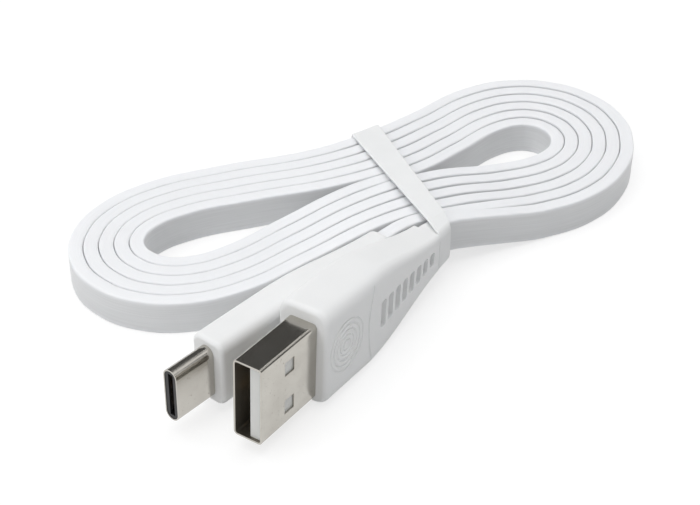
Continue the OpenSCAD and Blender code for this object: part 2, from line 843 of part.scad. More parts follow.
module usb_c_inner_mould() {
    color("gainsboro")
        in_c()
        difference() {
            c_mould_block();
            along(0, c_shell_l)
                stadium(c_shell_t, c_shell_w);
            c_pin_row(1);
            c_pin_row(-1);
            slab(c_shell_l, board_end, -c_slot_t / 2, c_slot_t / 2, -board_w / 2, board_w / 2);
            c_resistor();
            for (i = [0 : 3])
                c_wire(i);
            along(c_jacket_l, c_total)
                flat_section();
        }
}
c_relief_l = c_shell_out + 14.2;
c_neck_l = c_total - 0.9;
c_end_round = 0.9;
function c_relief(l) = clamp01((l - c_relief_l) / (c_neck_l - c_relief_l));
function c_wide(l) = c_body_w + (c_neck_w - c_body_w) * ease(c_relief(l));
function c_thick(l) = c_body_t + (c_neck_t - c_body_t) * c_relief(l);
c_relief_sections = 10;
c_round = 1.3;
C_SECTIONS = concat(
    [[c_shell_out, c_body_w - 1.2, c_body_t - 1.2, 1],
        [c_shell_out + 0.2, c_body_w - 0.45, c_body_t - 0.45, 1.3],
        [c_shell_out + 0.7, c_body_w, c_body_t, 1.5]],
    [for (i = [0 : c_relief_sections])
        let (l = c_relief_l + i * (c_neck_l - c_relief_l) / c_relief_sections)
        [l, c_wide(l), c_thick(l), c_round]],
    [[c_total - 0.3, c_neck_w - c_end_round / 2, c_neck_t - c_end_round / 2, c_round],
        [c_total, c_neck_w - c_end_round, c_neck_t - c_end_round, c_round - 0.2]]);
c_first_slot = c_relief_l + 5;
c_slot_l = 3.2;
c_slot_lean = 5;
c_slot_depth = 0.5;
module usb_c_overmould() {
    color("whitesmoke")
        in_c()
        difference() {
            moulding(C_SECTIONS);
            along(0, can_from + 1)
                stadium(c_shell_t, c_shell_w);
            along(can_from, can_to)
                round_rect(can_t, can_w, can_r);
            c_mould_block();
            along(c_mould_to - 1, c_total + 1)
                flat_section();
            relief_cuts(c_first_slot, relief_slots - 2, c_slot_l, c_slot_lean, c_slot_depth,
                function (l) c_thick(l) / 2);
        }
}

cord_hank();
cord_end_a();
cord_end_c();
tie_band();
usb_a_shell();
usb_a_insulator();
usb_a_pin_vbus();
usb_a_pin_dminus();
usb_a_pin_dplus();
usb_a_pin_ground();
usb_a_wire_red();
usb_a_wire_white();
usb_a_wire_green();
usb_a_wire_black();
usb_a_inner_mould();
usb_a_overmould();
usb_c_shell();
usb_c_insulator();
usb_c_pins_upper();
usb_c_pins_lower();
usb_c_mid_plate();
usb_c_latch_left();
usb_c_latch_right();
usb_c_spring_upper();
usb_c_spring_lower();
usb_c_board();
usb_c_resistor();
usb_c_wire_red();
usb_c_wire_white();
usb_c_wire_green();
usb_c_wire_black();
usb_c_inner_mould();
usb_c_can();
usb_c_overmould();
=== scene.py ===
import math

import bmesh
import bpy
from mathutils import Matrix, Quaternion, Vector


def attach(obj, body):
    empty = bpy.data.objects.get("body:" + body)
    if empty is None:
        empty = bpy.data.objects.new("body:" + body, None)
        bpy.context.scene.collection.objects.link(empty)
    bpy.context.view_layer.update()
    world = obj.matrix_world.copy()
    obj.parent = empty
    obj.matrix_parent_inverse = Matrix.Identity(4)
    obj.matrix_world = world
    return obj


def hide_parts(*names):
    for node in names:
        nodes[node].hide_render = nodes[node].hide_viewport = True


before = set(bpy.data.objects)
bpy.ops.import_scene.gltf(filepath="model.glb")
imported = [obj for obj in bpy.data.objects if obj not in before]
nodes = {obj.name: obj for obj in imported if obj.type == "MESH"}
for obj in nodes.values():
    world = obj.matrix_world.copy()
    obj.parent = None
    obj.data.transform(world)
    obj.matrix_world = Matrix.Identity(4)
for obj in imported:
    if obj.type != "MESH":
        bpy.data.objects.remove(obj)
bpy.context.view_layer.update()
scene = bpy.context.scene


# ---- Camera ----
# A long lens looks down on the plugs' side of the cable. Sizes are in millimetres all through
# this file, and MM turns them into metres where a mesh or an object takes them.
MM = 0.001
image_w = 700
focal_px = 1450
camera_at = Vector((-89.415, -160.390, 129.63))
camera_aim = Vector((-7.724, 3.459, 0))
camera_roll = math.radians(0.285)

camera = bpy.data.objects.new("camera", bpy.data.cameras.new("camera"))
camera.data.sensor_width = 36
camera.data.lens = camera.data.sensor_width * focal_px / image_w
camera.data.clip_start = 0.01
camera.location = camera_at * MM
level = (camera_aim - camera_at).to_track_quat("-Z", "Y")
camera.rotation_mode = "QUATERNION"
camera.rotation_quaternion = level @ Quaternion((0, 0, 1), camera_roll)
scene.collection.objects.link(camera)
scene.camera = camera


# ---- Studio ----
# A white board on the table under one large softbox, with a soft fill from the left and a small
# strip for the rims of the metal. The board takes the light like paper, and what the camera or
# metal sees of it is white.
scene.view_settings.view_transform = "Standard"


def linear(code):
    """An sRGB hex value as linear red, green, blue and alpha."""
    parts = [int(code[i : i + 2], 16) / 255 for i in (1, 3, 5)]
    return [c / 12.92 if c <= 0.04045 else ((c + 0.055) / 1.055) ** 2.4 for c in parts] + [1]


def add(tree, kind, inputs=None, **settings):
    """A shader node with its settings, and its inputs set to values or linked to sockets."""
    made = tree.nodes.new(kind)
    for key, value in settings.items():
        setattr(made, key, value)
    for key, value in (inputs or {}).items():
        if isinstance(value, bpy.types.NodeSocket):
            tree.links.new(value, made.inputs[key])
        else:
            made.inputs[key].default_value = value
    return made


def seen_directly(tree):
    """1 on rays from the camera, from metal and through anything clear, else 0."""
    path = add(tree, "ShaderNodeLightPath").outputs
    either = add(
        tree, "ShaderNodeMath", {0: path["Is Camera Ray"], 1: path["Is Glossy Ray"]}, operation="MAXIMUM"
    )
    return add(
        tree, "ShaderNodeMath", {0: either.outputs[0], 1: path["Is Transmission Ray"]}, operation="MAXIMUM"
    ).outputs[0]


world = bpy.data.worlds.new("studio")
world.use_nodes = True
tree = world.node_tree
tree.nodes.clear()
soft_fill = add(tree, "ShaderNodeBackground", {"Color": linear("#FAFBFC"), "Strength": 0.38})
white_room = add(tree, "ShaderNodeBackground", {"Color": linear("#FFFFFF"), "Strength": 1.0})
room = add(
    tree, "ShaderNodeMixShader", {0: seen_directly(tree), 1: soft_fill.outputs[0], 2: white_room.outputs[0]}
)
add(tree, "ShaderNodeOutputWorld", {"Surface": room.outputs[0]})
scene.world = world


def new_material(name):
    """A material whose nodes are still to come."""
    made = bpy.data.materials.new(name)
    made.use_nodes = True
    made.node_tree.nodes.clear()
    return made


# A wide flat board, a hair below the cable so that the two never share a plane
floor_size, floor_drop = 6000, 0.03
bm = bmesh.new()
bmesh.ops.create_grid(bm, x_segments=1, y_segments=1, size=floor_size * MM / 2)
bmesh.ops.translate(bm, verts=bm.verts, vec=(0, 0, -floor_drop * MM))
floor_mesh = bpy.data.meshes.new("floor")
bm.to_mesh(floor_mesh)
bm.free()
floor = bpy.data.objects.new("floor", floor_mesh)
scene.collection.objects.link(floor)

# White paper board: matt, with a soft shadow. What is seen of it directly is lifted, and most where
# it lies far off and the lamps no longer reach it, so that it is white to the edge.
lift_near, lift_far = 0.68, 1.0
near_m, far_m = 0.25, 1.2
board = new_material("white_paper_board")
tree = board.node_tree
paper = add(tree, "ShaderNodeBsdfDiffuse", {"Color": linear("#E2E2E2")})
shade = add(tree, "ShaderNodeBsdfDiffuse", {"Color": linear("#A4A4A4")})
place = add(tree, "ShaderNodeTexCoord").outputs["Object"]
away = add(tree, "ShaderNodeVectorMath", {0: place}, operation="LENGTH")
glow = add(tree, "ShaderNodeMapRange", {
    "Value": away.outputs["Value"],
    "From Min": near_m, "From Max": far_m, "To Min": lift_near, "To Max": lift_far,
})
lift = add(tree, "ShaderNodeEmission", {"Color": linear("#FFFFFF"), "Strength": glow.outputs[0]})
shown = add(tree, "ShaderNodeAddShader", {0: shade.outputs[0], 1: lift.outputs[0]})
both = add(tree, "ShaderNodeMixShader", {0: seen_directly(tree), 1: paper.outputs[0], 2: shown.outputs[0]})
add(tree, "ShaderNodeOutputMaterial", {"Surface": both.outputs[0]})
floor_mesh.materials.append(board)

# Softboxes: name, place, size across and along, power in watts. All of them face the cable, and the
# metal doesn't see the large one, whose edge would draw a line across its polish.
LAMPS = [
    ("softbox_over", (0, 80, 640), (900, 800), 3.42),
    ("softbox_left", (-560, -60, 360), (360, 360), 0.92),
    ("strip_rim", (433, 213, 593), (90, 200), 0.1),
]
for name, place, size, power in LAMPS:
    lamp = bpy.data.lights.new(name, "AREA")
    lamp.shape = "RECTANGLE"
    lamp.size = size[0] * MM
    lamp.size_y = size[1] * MM
    lamp.energy = power
    holder = bpy.data.objects.new(name, lamp)
    holder.location = Vector(place) * MM
    holder.rotation_mode = "QUATERNION"
    holder.rotation_quaternion = (-Vector(place)).to_track_quat("-Z", "Y")
    holder.visible_glossy = name != "softbox_over"
    scene.collection.objects.link(holder)

# Black velvet on three flags that only the metal sees: it draws the dark bands across the polish.
# The faint glow is the little light that velvet throws back.
velvet_glow = 0.105
velvet = new_material("black_velvet_flag")
tree = velvet.node_tree
faint = add(tree, "ShaderNodeEmission", {"Color": linear("#FFFFFF"), "Strength": velvet_glow})
add(tree, "ShaderNodeOutputMaterial", {"Surface": faint.outputs[0]})
# Flags: name, place, half the size across and along
FLAGS = [
    ("flag_back", (298, 599, 474), (420, 370)),
    ("flag_over", (409, 323, 607), (260, 190)),
    ("flag_right", (672, -205, 344), (150, 210)),
]
for name, place, half in FLAGS:
    bm = bmesh.new()
    bmesh.ops.create_grid(bm, x_segments=1, y_segments=1, size=MM)
    turn = (-Vector(place)).to_track_quat("Z", "Y").to_matrix().to_4x4()
    stand = Matrix.Translation(Vector(place) * MM) @ turn @ Matrix.Diagonal((*half, 1, 1))
    bmesh.ops.transform(bm, matrix=stand, verts=bm.verts)
    flag_mesh = bpy.data.meshes.new(name)
    bm.to_mesh(flag_mesh)
    bm.free()
    flag_mesh.materials.append(velvet)
    flag = bpy.data.objects.new(name, flag_mesh)
    flag.visible_camera = False
    flag.visible_diffuse = False
    flag.visible_shadow = False
    flag.visible_transmission = False
    scene.collection.objects.link(flag)


# ---- Cord ----
# One flat cord of four insulated cores under a soft white PVC jacket, extruded in one go, so fine
# lines run along it. It lies on its edge in two lobes of a hank, from one strain relief to the other.
cord_w, cord_t, cord_round = 5.4, 2.2, 0.28
waist_l = 7.7
right_turns = 6
left_turns = right_turns - 1
right_pitch, left_pitch = 2.52, 2.3
tip_y = (right_pitch + left_pitch) * 0.2
# A lobe's eye starts from its tip at the waist. It has a half width and a sharpness for its back and
# its front, rises towards its far end, and spreads its turns a little unevenly, by the skew.
RIGHT = {
    "tip": Vector((waist_l / 2, -tip_y)), "way": 1, "length": 27.6, "rise": 1.8,
    "half": (8.3, 7.7), "sharp": (3.1, 2.4), "pitch": right_pitch, "skew": 0.1,
}
LEFT = {
    "tip": Vector((-waist_l / 2, tip_y)), "way": -1, "length": 36.4, "rise": -1.8,
    "half": (7.5, 9.9), "sharp": (2.2, 2.6), "pitch": left_pitch, "skew": 0.02,
}


def eye(lobe, t):
    """Edge of a lobe's eye: t is 0 and 360 at the tip, 180 at the far end, and the back is below 180."""
    a = math.radians(t)
    side = 0 if t < 180 else 1
    out = (1 - math.cos(a)) / 2
    bulge = lobe["half"][side] * math.sin(a) * abs(math.sin(a / 2)) ** lobe["sharp"][side]
    return lobe["tip"] + Vector((lobe["way"] * lobe["length"] * out, lobe["rise"] * out + bulge))


def strand(lobe, t, turn):
    """The middle of the strand that lies so many pitches outside the eye."""
    d = (eye(lobe, t + 1) - eye(lobe, t - 1)).normalized()
    n = lobe["way"] * Vector((-d.y, d.x))
    return eye(lobe, t) + n * turn * lobe["pitch"] * (1 + lobe["skew"] * 2 * n.x * n.y)


# A trip leaves out the tip, where the cord crosses over the waist. Its points are spread evenly in a
# measure that counts ring_run millimetres of run as much as ring_turn degrees of turn.
half_rings = 6
first_t, last_t, step_t = 38, 322, 4
ring_run, ring_turn = 12, 28


def trip(lobe, turn, from_back):
    """Points for one trip round a lobe, closer together where the strand turns than where it runs on."""
    ts = list(range(first_t, last_t + 1, step_t))
    pts = [strand(lobe, t, turn) for t in ts]
    reached = [0]
    for i in range(len(pts) - 1):
        a, b, c = pts[max(i - 1, 0)], pts[i], pts[i + 1]
        bent = 0 if i == 0 else math.degrees((b - a).angle(c - b))
        reached.append(reached[-1] + (c - b).length / ring_run + bent / ring_turn)
    found = []
    for i in range(2 * half_rings):
        want = reached[-1] * i / (2 * half_rings - 1)
        k = min(max(j for j in range(len(ts)) if reached[j] <= want + 1e-9), len(ts) - 2)
        u = (want - reached[k]) / (reached[k + 1] - reached[k])
        found.append(strand(lobe, ts[k] + u * step_t, turn))
    return found if from_back else found[::-1]


# The cord winds inwards by every other turn, and back out through the turns between
loops = []
for k in range(1, right_turns, 2):
    loops += trip(RIGHT, right_turns - k + 0.5, False)
    loops += trip(LEFT, left_turns - k + 0.5, True)
for k in range(right_turns, 1, -2):
    loops += trip(RIGHT, right_turns - k + 0.5, True)
    if k > 2:
        loops += trip(LEFT, left_turns - k + 2.5, False)


def ease(u):
    """A soft step from 0 to 1."""
    c = min(1, max(0, u))
    return c * c * (3 - 2 * c)


# The two plugs stand on edge: each frame's X runs from the mouth to the cord, and Z up the broad
# faces. The larger body sits a_offset above the middle of its sleeve, and its strain relief ends in
# a thin lip, which the band is hitched round.
a_shell_out = 12.1
a_grip_l = 11
a_rest_l = a_shell_out + a_grip_l
a_total = a_shell_out + 31.8
a_lip_l = a_total + 3.2
a_body_w, a_flank_w, a_neck_w = 15, 14.4, 6.4
a_body_t, a_neck_t = 8.1, 5.0
a_lip_w, a_lip_t = a_neck_w - 0.5, a_neck_t - 0.8
a_flank_run, a_flank_late = 0.95, 0.03
a_offset = 0.45
a_yaw, a_dip = math.radians(30.3), math.radians(3)
c_shell_out = 6.8
c_total = c_shell_out + 36.8
c_yaw, c_dip = math.radians(24.2), math.radians(1)
c_axis_z = 6.4
relief_sections = 10


def a_relief(l):
    """How far along the larger plug's strain relief a place is, from 0 to 1."""
    return min(1, max(0, (l - a_rest_l) / (a_total - a_rest_l)))


def a_wide(l):
    return a_flank_w + (a_neck_w - a_flank_w) * ease(a_relief(l) * a_flank_run - a_flank_late)


def a_thick(l):
    return a_body_t + (a_neck_t - a_body_t) * a_relief(l)


RELIEF_L = [a_rest_l + i * (a_total - a_rest_l) / relief_sections for i in range(relief_sections + 1)]
a_axis_z = max((a_wide(l) / 2 - a_offset) * math.cos(a_dip) + l * math.sin(a_dip) for l in RELIEF_L)
# The hank is laid out from the middle of its waist, and this is where that lies
shift = Vector((2.62518, 12.6799, 0))
TURN_A = Matrix.Rotation(a_yaw, 4, "Z") @ Matrix.Rotation(a_dip, 4, "Y")
TURN_C = Matrix.Rotation(c_yaw, 4, "Z") @ Matrix.Rotation(c_dip, 4, "Y")
PLUG_A = Matrix.Translation(Vector((-41.7, -43.2, a_axis_z)) + shift) @ TURN_A
PLUG_C = Matrix.Translation(Vector((-49.3, -35.8, c_axis_z)) + shift) @ TURN_C


def on_a(l):
    return PLUG_A @ Vector((l, 0, a_offset))


def on_c(l):
    return PLUG_C @ Vector((l, 0, 0))


# The cord lies on its edge and passes over the band at the waist. Its two ends hang a little high
# there, on their way to the plugs.
seat_z = cord_w / 2
waist_lift = 0.45
lift_from, lift_run = waist_l / 2 + 4.5, 9
a_hang, c_hang, hang_run = 1.2, 1.0, 18
# The band draws the strands up and forward at the waist, and the front ones more than the back ones
drawn_at, drawn_reach = -1, 11
drawn_up, drawn_near = 2.3, 4.4
undrawn_y, all_drawn_y = 12.4, -10
bed = []
for i, p in enumerate(loops[1:-1], start=1):
    z = seat_z + waist_lift * (1 - ease((abs(p.x) - lift_from) / lift_run))
    hang = a_hang if i < half_rings else c_hang if i > len(loops) - 1 - half_rings else 0
    z += hang * (1 - ease((p.x - waist_l / 2) / hang_run))
    forward = min(1, max(0, (undrawn_y - p.y) / (undrawn_y - all_drawn_y)))
    drawn = math.exp(-(((p.x - drawn_at) / drawn_reach) ** 2)) * forward
    bed.append(Vector((p.x, p.y - drawn_near * drawn, z + drawn_up * drawn)) + shift)


def bend(p0, d0, p1, d1, pull, u):
    """A point on the swing from one straight stretch of cord to another."""
    v = 1 - u
    reach = pull * (p1 - p0).length
    return (
        v * v * (1 + 2 * u) * p0 + u * v * v * reach * d0
        + u * u * (3 - 2 * u) * p1 - u * u * v * reach * d1
    )


# From each plug the cord runs straight for a little, then swings over to its strand. The smaller
# plug's end arches on the way.
A_DIR = (TURN_A @ Vector((1, 0, 0))).normalized()
C_DIR = (TURN_C @ Vector((1, 0, 0))).normalized()
bend_rings = 6
a_jacket_l, c_jacket_l = 25.6, 19.4
a_straight, c_straight = 5, 1.8
a_pull, c_pull = 0.35, 0.7
c_arch = 2
start = on_a(a_total + a_straight)
finish = on_c(c_total + c_straight)
start_way = (bed[1] - bed[0]).normalized()
finish_way = (bed[-2] - bed[-1]).normalized()
route = [on_a(a_jacket_l), on_a((a_jacket_l + a_total) / 2), on_a(a_total)]
for i in range(bend_rings):
    route.append(bend(start, A_DIR, bed[0], start_way, a_pull, i / bend_rings))
route += bed
for i in range(bend_rings - 1, -1, -1):
    u = i / bend_rings
    arch = Vector((0, 0, c_arch * u * (1 - u)))
    route.append(bend(finish, C_DIR, bed[-1], finish_way, c_pull, u) + arch)
route += [on_c(c_total), on_c((c_jacket_l + c_total) / 2), on_c(c_jacket_l)]


def rounded_outline(wide, tall, r, steps):
    """Points round a rectangle with round corners, anticlockwise."""
    found = []
    for q, (sx, sy) in enumerate(((1, 1), (-1, 1), (-1, -1), (1, -1))):
        for i in range(steps + 1):
            a = math.radians(q * 90 + i * 90 / steps)
            x = sx * (wide / 2 - r) + r * math.cos(a)
            y = sy * (tall / 2 - r) + r * math.sin(a)
            found.append(Vector((x, y)))
    return found


def settled(maker):
    """The finished mesh of an object, with its modifiers worked in."""
    bpy.context.view_layer.update()
    graph = bpy.context.evaluated_depsgraph_get()
    return bpy.data.meshes.new_from_object(maker.evaluated_get(graph))


def smooth_line(points, steps):
    """Points along a Bezier curve that runs smoothly through the given ones."""
    data = bpy.data.curves.new("line", "CURVE")
    data.dimensions = "3D"
    data.resolution_u = steps
    spline = data.splines.new("BEZIER")
    spline.bezier_points.add(len(points) - 1)
    for knot, p in zip(spline.bezier_points, points):
        knot.co = p
        knot.handle_left_type = knot.handle_right_type = "AUTO"
    maker = bpy.data.objects.new("line", data)
    scene.collection.objects.link(maker)
    found = [v.co.copy() for v in settled(maker).vertices]
    bpy.data.objects.remove(maker)
    return found


def new_piece(name, bm, material):
    """A finished piece on the cable's one body: its mesh is in metres, its object at the origin."""
    mesh = bpy.data.meshes.new(name)
    bm.to_mesh(mesh)
    bm.free()
    mesh.materials.append(material)
    made = bpy.data.objects.new(name, mesh)
    scene.collection.objects.link(made)
    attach(made, "root")
    return made


def worked_in(piece):
    """Gives a piece its finished mesh and clears its modifiers."""
    mesh = settled(piece)
    piece.modifiers.clear()
    mesh.name = piece.data.name
    piece.data = mesh


def soften(piece, degrees):
    """Shades a piece smooth, apart from edges that turn by more than this, and keeps its flats flat."""
    piece.data.shade_smooth()
    piece.data.set_sharp_from_angle(angle=math.radians(degrees))
    weighted = piece.modifiers.new("weighted", "WEIGHTED_NORMAL")
    weighted.keep_sharp = True
    weighted.weight = 80
    worked_in(piece)


# Extruded PVC: satin, a little soft inside. The die leaves fine lines along the run, drawn coarser
# than they are so that they show. The broad faces are painted greyer than the two edges: painted
# shade for the sides of the cord on edge, which take less light than its top and bottom.
line_pitch, line_stretch = 0.22, 50
patches_per_mm = 0.12
# How far in from the edges the painted shade of the broad faces fades in, in millimetres
face_shade_run = 0.7
jacket = new_material("extruded_white_pvc")
tree = jacket.node_tree
along = add(tree, "ShaderNodeUVMap", uv_map="run")
stretched = add(tree, "ShaderNodeMapping", {
    "Vector": along.outputs[0], "Scale": (1 / line_stretch / line_pitch, 1 / line_pitch, 1),
})
lines = add(tree, "ShaderNodeTexNoise", {"Vector": stretched.outputs[0], "Scale": 1.0, "Detail": 2.0})
patch = add(tree, "ShaderNodeTexNoise", {
    "Vector": along.outputs[0], "Scale": patches_per_mm, "Detail": 2.0,
})
# How far a place round the jacket is from the middle of a broad face, in millimetres
girth = 2 * (cord_w + cord_t) - (8 - 2 * math.pi) * cord_round
from_corner = math.pi * cord_round + cord_t - 2 * cord_round + (cord_w - 2 * cord_round) / 2
run_place = add(tree, "ShaderNodeSeparateXYZ", {0: along.outputs[0]})
from_middle = add(tree, "ShaderNodeMath", {0: run_place.outputs[1], 1: from_corner}, operation="SUBTRACT")
off_middle = add(tree, "ShaderNodeMath", {0: from_middle.outputs[0], 1: girth / 4}, operation="PINGPONG")
# Painted shade: 1 on the broad faces, which take the greyer tone, and 0 on the two edges
broad = add(tree, "ShaderNodeMapRange", {
    "Value": off_middle.outputs[0],
    "From Min": cord_w / 2, "From Max": cord_w / 2 - face_shade_run, "To Min": 0.0, "To Max": 1.0,
})
edge_tone = add(
    tree, "ShaderNodeMix", {0: lines.outputs[0], 6: linear("#F0F1F4"), 7: linear("#F6F7FA")},
    data_type="RGBA",
)
# The greyer tone of the broad faces is painted shade
painted_shade_face_tone = add(
    tree, "ShaderNodeMix", {0: lines.outputs[0], 6: linear("#D9DADB"), 7: linear("#E9EAEB")},
    data_type="RGBA",
)
tone = add(
    tree, "ShaderNodeMix", {0: broad.outputs[0], 6: edge_tone.outputs[2], 7: painted_shade_face_tone.outputs[2]},
    data_type="RGBA",
)
shine = add(tree, "ShaderNodeMapRange", {"Value": patch.outputs[0], "To Min": 0.38, "To Max": 0.5})
relief = add(tree, "ShaderNodeBump", {"Height": lines.outputs[0], "Strength": 0.6, "Distance": 0.06 * MM})
out = add(tree, "ShaderNodeBsdfPrincipled", {
    "Base Color": tone.outputs[2], "Roughness": shine.outputs[0], "IOR": 1.53,
    "Subsurface Weight": 0.5, "Subsurface Radius": (1.0, 0.97, 0.95), "Subsurface Scale": 1.1 * MM,
    "Normal": relief.outputs[0],
})
add(tree, "ShaderNodeOutputMaterial", {"Surface": out.outputs[0]})

path = smooth_line(route, steps=8)
outline = rounded_outline(cord_t, cord_w, cord_round, steps=4)
# The jacket's "run" map is in millimetres: along the cord, and round it
around = [0]
for p, q in zip(outline, outline[1:] + outline[:1]):
    around.append(around[-1] + (q - p).length)
bm = bmesh.new()
run = bm.loops.layers.uv.new("run")
gone = 0
last_ring = None
for i, p in enumerate(path):
    way = (path[min(i + 1, len(path) - 1)] - path[max(i - 1, 0)]).normalized()
    across = Vector((0, 0, 1)).cross(way).normalized()
    up = way.cross(across)
    ring = [bm.verts.new((p + across * q.x + up * q.y) * MM) for q in outline]
    if last_ring is None:
        bm.faces.new(ring[::-1])
    else:
        step = (p - path[i - 1]).length
        for k in range(len(ring)):
            n = (k + 1) % len(ring)
            face = bm.faces.new((last_ring[k], last_ring[n], ring[n], ring[k]))
            ahead = gone + step
            places = ((gone, around[k]), (gone, around[k + 1]), (ahead, around[k + 1]), (ahead, around[k]))
            for loop, place in zip(face.loops, places):
                loop[run].uv = place
        gone += step
    last_ring = ring
bm.faces.new(last_ring)
bmesh.ops.recalc_face_normals(bm, faces=bm.faces)
cord = new_piece("flat_cord", bm, jacket)
soften(cord, degrees=40)
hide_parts("cord_hank", "cord_end_a", "cord_end_c")


# ---- Tie band ----
# A closed loop of white silicone strip, moulded flat and stretched round the waist of the hank and
# the thin lip of the larger plug's strain relief. It lies wide on the strands and draws in where it
# turns down in front.
band_w, band_front_w = 5, 4
band_t, band_edge = 0.45, 0.16
band_play = 0.1
band_mid = 2.8 + shift.x
foot_turn, back_turn, neck_turn = 0.3, 0.9, 0.85
corner_steps = 6
# Where the band lies along the waist, from its middle, and how wide it is, against band_w: halfway
# across the hank, where it leaves the floor, and behind
HALFWAY, UNDER, BEHIND = (0.8, 1.05), (-0.3, 0.92), (1.2, 1.1)
# What the band's two edges are drawn round in front: the lip, and the cord where it leaves the lip.
# Each is a thickness, a width, and how far the band slants along X as it crosses over. It passes
# neck_under below the cord.
LIP_EDGE = (a_lip_t, a_lip_w, 0.4)
CORD_EDGE = (cord_t + 1.2, cord_w + 0.1, 0.8)
neck_under = 0.2


def rear_y(x):
    """How far back the cord's middle lies at a place along X."""
    found = []
    for a, b in zip(route, route[1:]):
        if min(a.x, b.x) <= x <= max(a.x, b.x) and a.x != b.x:
            found.append(a.y + (b.y - a.y) * (x - a.x) / (b.x - a.x))
    return max(found)


back_z = seat_z + waist_lift + cord_w / 2 + band_play
# The band lies flat under the rearmost strands only, and from there runs up under those it draws up
low = [p.y for p in bed if abs(p.x - shift.x) < lift_from and p.z < seat_z + waist_lift + 0.1]
under_y = min(low) - cord_t / 2
lip_from = a_total + 0.05


def neck_box(l, thick, wide):
    """What the band is drawn round there: near side, far side, bottom, top and place along X."""
    c = on_a(l)
    side = thick / 2 * math.cos(a_yaw) + band_play
    rise = wide / 2 + band_play
    bottom = c.z - cord_w / 2 - neck_under
    return c.y - side, c.y + side, bottom, c.z + rise, c.x + thick / 2 * math.sin(a_yaw)


def turned(corners, steps):
    """Points along a closed outline whose corners are round, with the way out at each of them."""
    found = []
    for i, (y, z, r) in enumerate(corners):
        c = Vector((y, z))
        u = (c - Vector(corners[i - 1][:2])).normalized()
        v = (Vector(corners[(i + 1) % len(corners)][:2]) - c).normalized()
        turn = math.acos(u.dot(v))
        m = c - u * r * math.tan(turn / 2) + Vector((-u.y, u.x)) * r
        for k in range(steps + 1):
            w = turn * k / steps
            way = Vector((u.y * math.cos(w) + u.x * math.sin(w), u.y * math.sin(w) - u.x * math.cos(w)))
            found.append((m + way * r, way))
    return found


def between(y, stops):
    """A value that runs straight from stop to stop: each stop is a place across the hank and its value."""
    stops = sorted(stops)
    for (y0, x0), (y1, x1) in zip(stops, stops[1:]):
        if y <= y1:
            return x0 + (x1 - x0) * max(0, (y - y0) / (y1 - y0))
    return stops[-1][1]


def band_loop(l, side, thick, wide, slant):
    """One edge of the band, at a place along the larger plug: points, and the way out at each."""
    near, far, bottom, top, x = neck_box(l, thick, wide)
    half = side * band_w / 2
    mid_x, under_x, back_x = (band_mid + at + half * share for at, share in (HALFWAY, UNDER, BEHIND))
    back_y = rear_y(back_x) + cord_t / 2 + band_play
    corners = [
        (back_y, band_t, foot_turn), (back_y, back_z, back_turn), (far, top, neck_turn),
        (near, top, neck_turn), (near, bottom, neck_turn), (under_y, band_t, foot_turn),
    ]
    stops = [(near, x), (far, x + slant), (under_y, under_x), (shift.y, mid_x), (back_y, back_x)]
    found = turned(corners, corner_steps)
    return [(Vector((between(p.x, stops), p.x, p.y)), Vector((0, way.x, way.y))) for p, way in found]


# Moulded silicone: matt and a little clouded, with the fine dry skin of its mould
silicone = new_material("moulded_white_silicone")
tree = silicone.node_tree
place = add(tree, "ShaderNodeTexCoord").outputs["Object"]
bloom = add(tree, "ShaderNodeTexNoise", {"Vector": place, "Scale": 1 / (3 * MM), "Detail": 3.0})
tone = add(
    tree, "ShaderNodeMix", {0: bloom.outputs[0], 6: linear("#ECEDED"), 7: linear("#F0F1F1")},
    data_type="RGBA",
)
skin = add(tree, "ShaderNodeTexNoise", {"Vector": place, "Scale": 1 / (0.25 * MM), "Detail": 2.0})
relief = add(tree, "ShaderNodeBump", {"Height": skin.outputs[0], "Strength": 0.3, "Distance": 0.02 * MM})
out = add(tree, "ShaderNodeBsdfPrincipled", {
    "Base Color": tone.outputs[2], "Roughness": 0.5, "IOR": 1.43, "Normal": relief.outputs[0],
    "Subsurface Weight": 0.4, "Subsurface Radius": (1.0, 1.0, 0.95), "Subsurface Scale": 0.8 * MM,
})
add(tree, "ShaderNodeOutputMaterial", {"Surface": out.outputs[0]})

left = band_loop(lip_from, -1, *LIP_EDGE)
right = band_loop(lip_from + band_front_w, 1, *CORD_EDGE)
bm = bmesh.new()
rings = []
for (pl, wl), (pr, wr) in zip(left, right):
    way = (wl + wr).normalized()
    wide = (pr - pl).length
    ring = []
    for q in rounded_outline(wide, band_t, band_edge, steps=3):
        ring.append(bm.verts.new(((pl + pr) / 2 + (pr - pl) / wide * q.x + way * (q.y + band_t / 2)) * MM))
    rings.append(ring)
for a, b in zip(rings, rings[1:] + rings[:1]):
    for k in range(len(a)):
        n = (k + 1) % len(a)
        bm.faces.new((a[k], a[n], b[n], b[k]))
bmesh.ops.recalc_face_normals(bm, faces=bm.faces)
band = new_piece("elastic_band", bm, silicone)
soften(band, degrees=50)
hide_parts("tie_band")


# ---- Metal sleeve of the USB-A plug ----
# Brass strip folded into a flat tube, tumbled and plated with bright nickel. Two windows in each
# broad face take the catches of a socket.
def loft(bm, sections, steps):
    """A closed skin through upright sections: each is [place, width, thickness, corner radius]."""
    rings = []
    for l, wide, thick, r in sections:
        ring = [bm.verts.new((l, q.x, q.y)) for q in rounded_outline(thick, wide, r, steps)]
        edges = [bm.edges.new((a, b)) for a, b in zip(ring, ring[1:] + ring[:1])]
        if rings:
            bmesh.ops.bridge_loops(bm, edges=rings[-1][1] + edges)
        rings.append((ring, edges))
    bm.faces.new(rings[0][0])
    bm.faces.new(rings[-1][0])
    bmesh.ops.recalc_face_normals(bm, faces=bm.faces)


